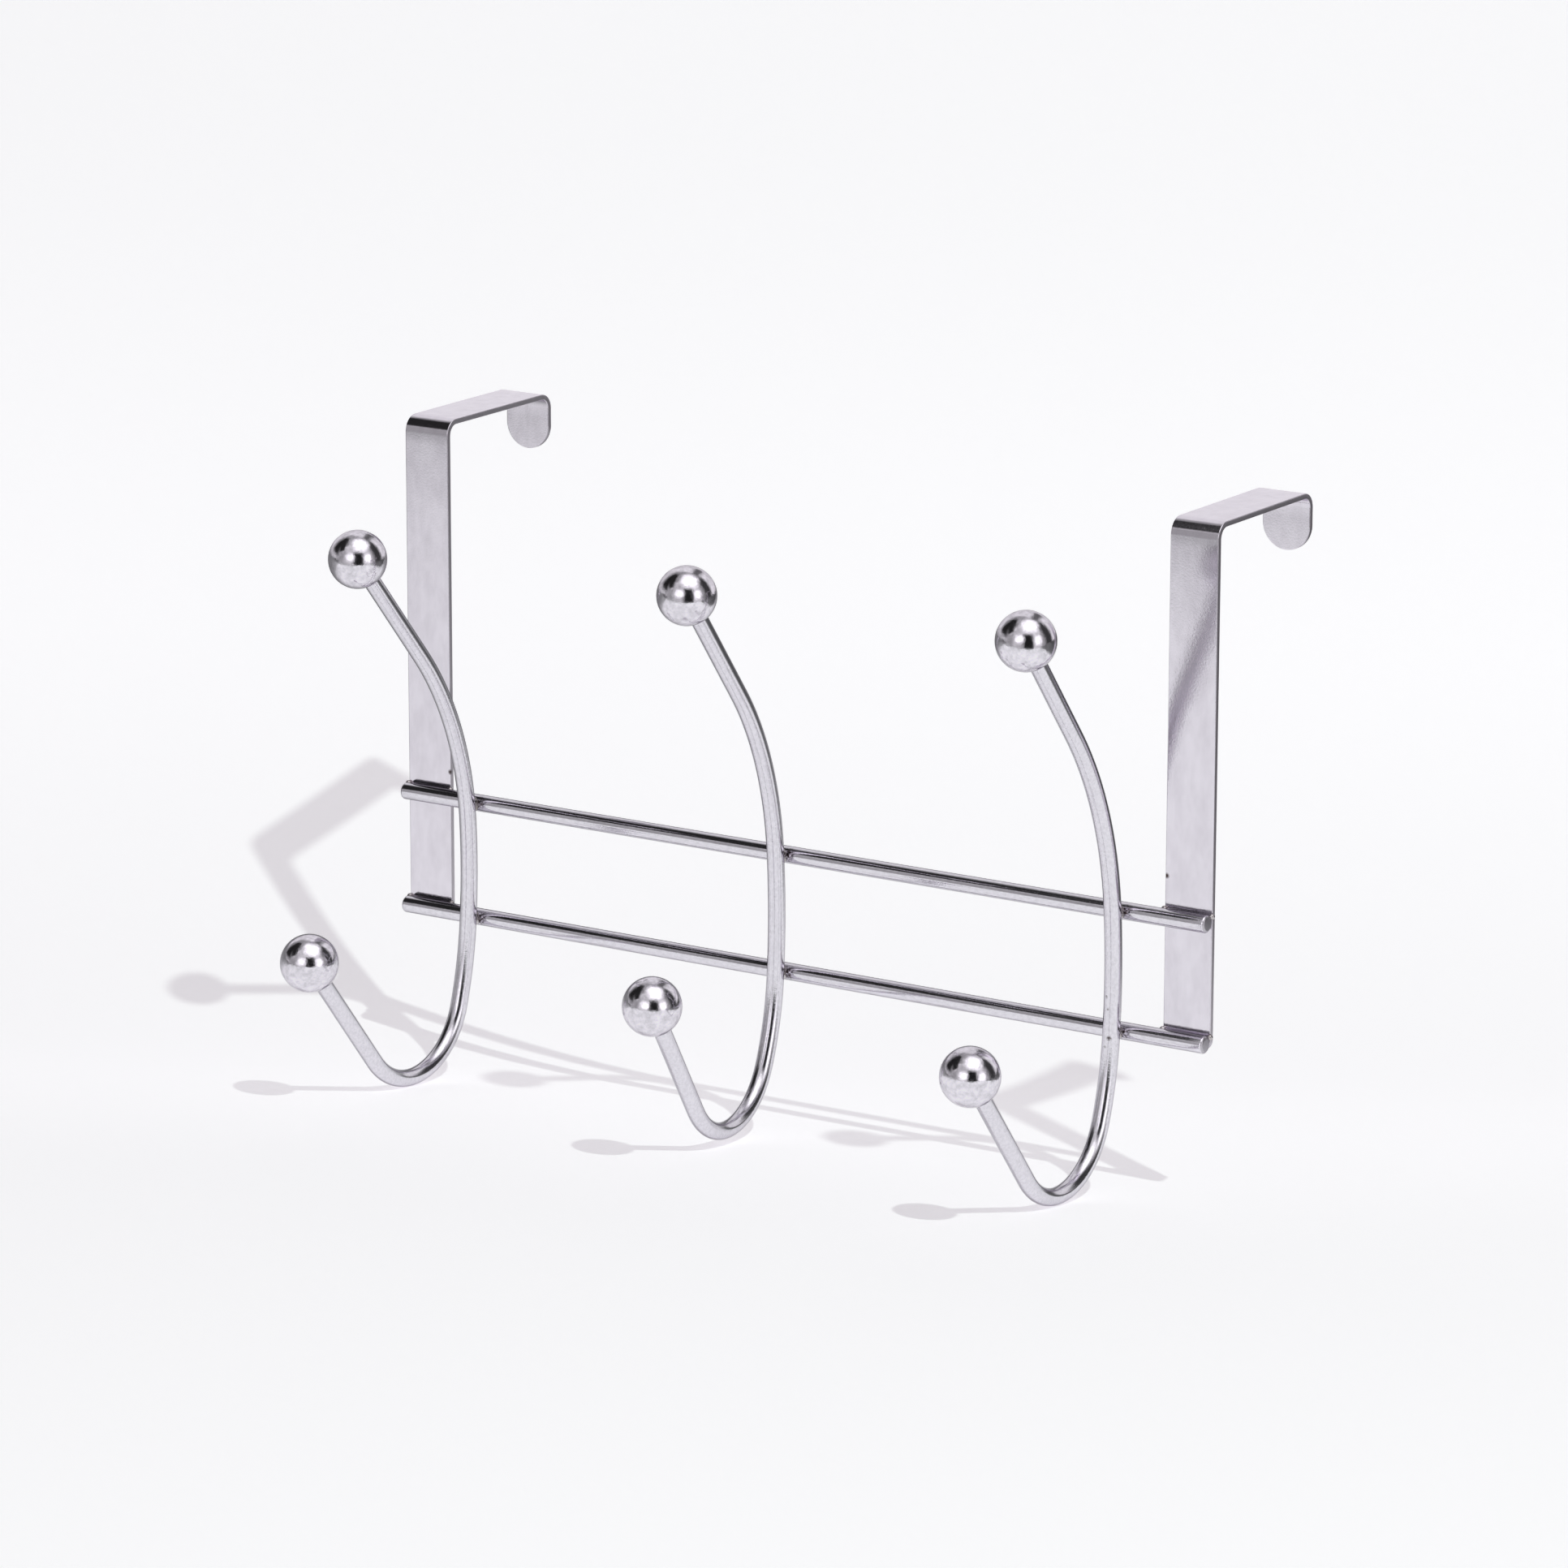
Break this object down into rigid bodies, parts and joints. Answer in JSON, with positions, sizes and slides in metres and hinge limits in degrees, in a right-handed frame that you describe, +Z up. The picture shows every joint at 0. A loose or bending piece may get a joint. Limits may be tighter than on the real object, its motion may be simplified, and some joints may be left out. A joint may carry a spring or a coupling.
{
  "type": "over door hook rack",
  "caption": "Chrome wire rack that hangs over a door on two flat straps; double hooks with ball tips are welded across two round rails.",
  "frame": {"origin": "midway between the straps, on the door's front face, level with the top of the door", "axes": "+X along the rails towards the right as seen from the room, +Y into the door, +Z up as it hangs"},
  "size_m": [0.2636, 0.1384, 0.1829],
  "materials": {
    "strap": "satin chrome plate on flat steel bar",
    "rail": "bright chrome plate on drawn round bar",
    "hook_wire": "chrome plate on bent wire, faint drawing lines and specks",
    "ball": "mirror chrome plate on a turned ball",
    "weld": "plated weld flash, a little rough"
  },
  "bodies": {
    "root": {"left_strap": "strap", "right_strap": "strap", "upper_rail": "rail", "lower_rail": "rail", "left_hook": "hook_wire", "centre_hook": "hook_wire", "right_hook": "hook_wire", "left_upper_ball": "ball", "left_lower_ball": "ball", "centre_upper_ball": "ball", "centre_lower_ball": "ball", "right_upper_ball": "ball", "right_lower_ball": "ball", "rail_hook_welds": "weld", "rail_strap_welds": "weld"}
  },
  "joints": []
}
